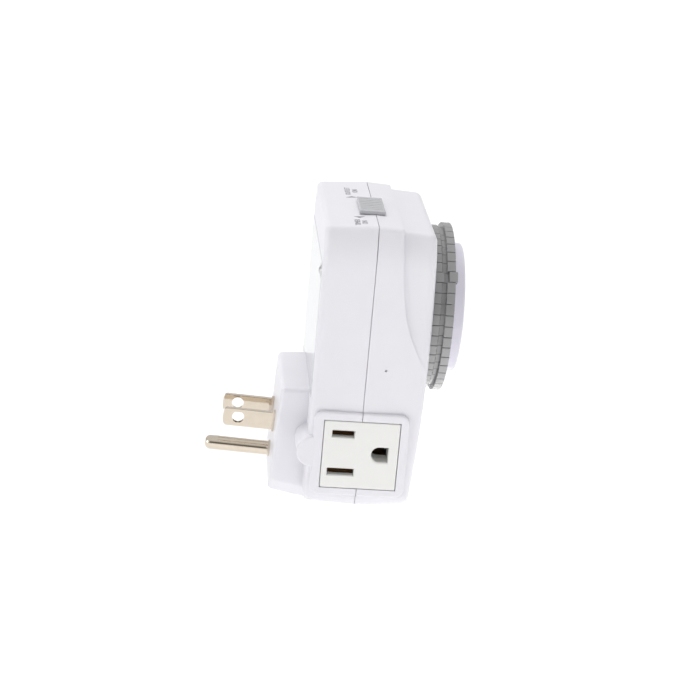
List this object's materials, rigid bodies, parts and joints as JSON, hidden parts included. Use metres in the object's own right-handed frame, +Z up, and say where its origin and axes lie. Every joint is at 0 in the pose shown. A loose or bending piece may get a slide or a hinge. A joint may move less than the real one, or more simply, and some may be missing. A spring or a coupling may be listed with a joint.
{
  "type": "plug-in timer switch",
  "caption": "Wall plug-in mechanical 24-hour timer switch: tripper dial on the front, override slide on top, grounded outlets on both sides, grounded plug at the back.",
  "frame": {"origin": "centre of the plug face, midway between the two flat blades", "axes": "+Z up, +Y out of the wall side of the casing towards the wall outlet (the blades lean 3 degrees up from +Y), -Y towards the user who reads the dial, +X to the user's right"},
  "size_m": [0.064, 0.0779, 0.0965],
  "materials": {
    "housing": "fine matte moulded thermoplastic, white",
    "outlet": "smooth moulded thermoset, off white",
    "label": "glossy silver foil label, blank",
    "trippers": "satin moulded plastic, mid grey",
    "dial": "satin moulded plastic, pale grey lilac, plain printed hour numbers",
    "slide": "satin moulded plastic, grey",
    "nickel": "nickel plated brass",
    "brass": "bright stamped brass strip",
    "steel": "zinc plated steel",
    "silver": "silver alloy contact rivet",
    "nylon": "natural acetal",
    "insulator": "pressed insulating board",
    "motor_tin": "tinned steel sheet",
    "coil": "taped copper winding",
    "rotor": "bonded ferrite",
    "wire_black": "PVC insulation, black",
    "wire_white": "PVC insulation, white"
  },
  "bodies": {
    "casing": {"rear_housing": "housing", "front_housing": "housing", "left_outlet_face": "outlet", "right_outlet_face": "outlet", "rear_label": "label", "housing_screws": "steel", "line_blade": "nickel", "neutral_blade": "nickel", "ground_pin": "nickel", "blade_retainer": "insulator", "left_line_clip": "brass", "left_neutral_clip": "brass", "left_ground_clip": "brass", "right_line_clip": "brass", "right_neutral_clip": "brass", "right_ground_clip": "brass", "line_in_strip": "brass", "load_bus": "brass", "neutral_bus": "brass", "ground_bus": "brass", "override_line_strip": "brass", "override_load_strip": "brass", "dial_axle": "steel", "gear_plate": "steel", "gear_plate_screws": "steel", "idler_axle": "steel", "motor_end_plate": "motor_tin", "motor_can": "motor_tin", "motor_coil": "coil", "motor_screws": "steel", "motor_lead_neutral": "wire_white", "motor_lead_line": "wire_black"},
    "dial": {"dial_drum": "trippers", "dial_face": "dial", "dial_gear": "nylon", "dial_retainer": "steel"},
    "tripper_ring": {"trippers": "trippers"},
    "raised_tripper": {"raised_tripper": "trippers"},
    "idler": {"idler_gear": "nylon"},
    "motor_pinion": {"motor_pinion": "nylon"},
    "motor_rotor": {"motor_rotor": "rotor"},
    "follower": {"follower_pin": "nylon"},
    "contact_arm": {"contact_arm": "brass"},
    "override_slide": {"override_slide": "slide", "slide_contact": "brass"}
  },
  "joints": [
    {"name": "dial_turn", "type": "hinge", "parent": "casing", "child": "dial", "pos_m": [0, -0.026, 0.0404], "axis": [0, 1, 0], "continuous": true},
    {"name": "tripper_press", "type": "slide", "parent": "dial", "child": "tripper_ring", "axis": [0, 1, 0], "range_m": [0, 0.0024]},
    {"name": "raised_tripper_press", "type": "slide", "parent": "dial", "child": "raised_tripper", "axis": [0, 1, 0], "range_m": [0, 0.00305]},
    {"name": "idler_turn", "type": "hinge", "parent": "casing", "child": "idler", "pos_m": [0.01427, -0.026, 0.02339], "axis": [0, 1, 0], "continuous": true},
    {"name": "motor_pinion_turn", "type": "hinge", "parent": "casing", "child": "motor_pinion", "pos_m": [0.00656, -0.026, 0.03259], "axis": [0, 1, 0], "continuous": true},
    {"name": "motor_rotor_turn", "type": "hinge", "parent": "casing", "child": "motor_rotor", "pos_m": [0, -0.026, 0.03825], "axis": [0, 1, 0], "continuous": true},
    {"name": "follower_press", "type": "slide", "parent": "casing", "child": "follower", "axis": [0, 1, 0], "range_m": [0, 0.0024]},
    {"name": "contact_arm_flex", "type": "hinge", "parent": "casing", "child": "contact_arm", "pos_m": [-0.014, -0.0343, 0.00025], "axis": [0, 0, 1], "range_deg": [0, 10.2]},
    {"name": "override_slide_move", "type": "slide", "parent": "casing", "child": "override_slide", "axis": [1, 0, 0], "range_m": [0, 0.0056]}
  ],
  "couplings": [
    {"joint": "idler_turn", "follows": "dial_turn", "ratio": -6.4},
    {"joint": "motor_pinion_turn", "follows": "dial_turn", "ratio": 19.2},
    {"joint": "follower_press", "follows": "tripper_press", "ratio": 1},
    {"joint": "contact_arm_flex", "follows": "tripper_press", "rad_per_m": 71.43}
  ]
}
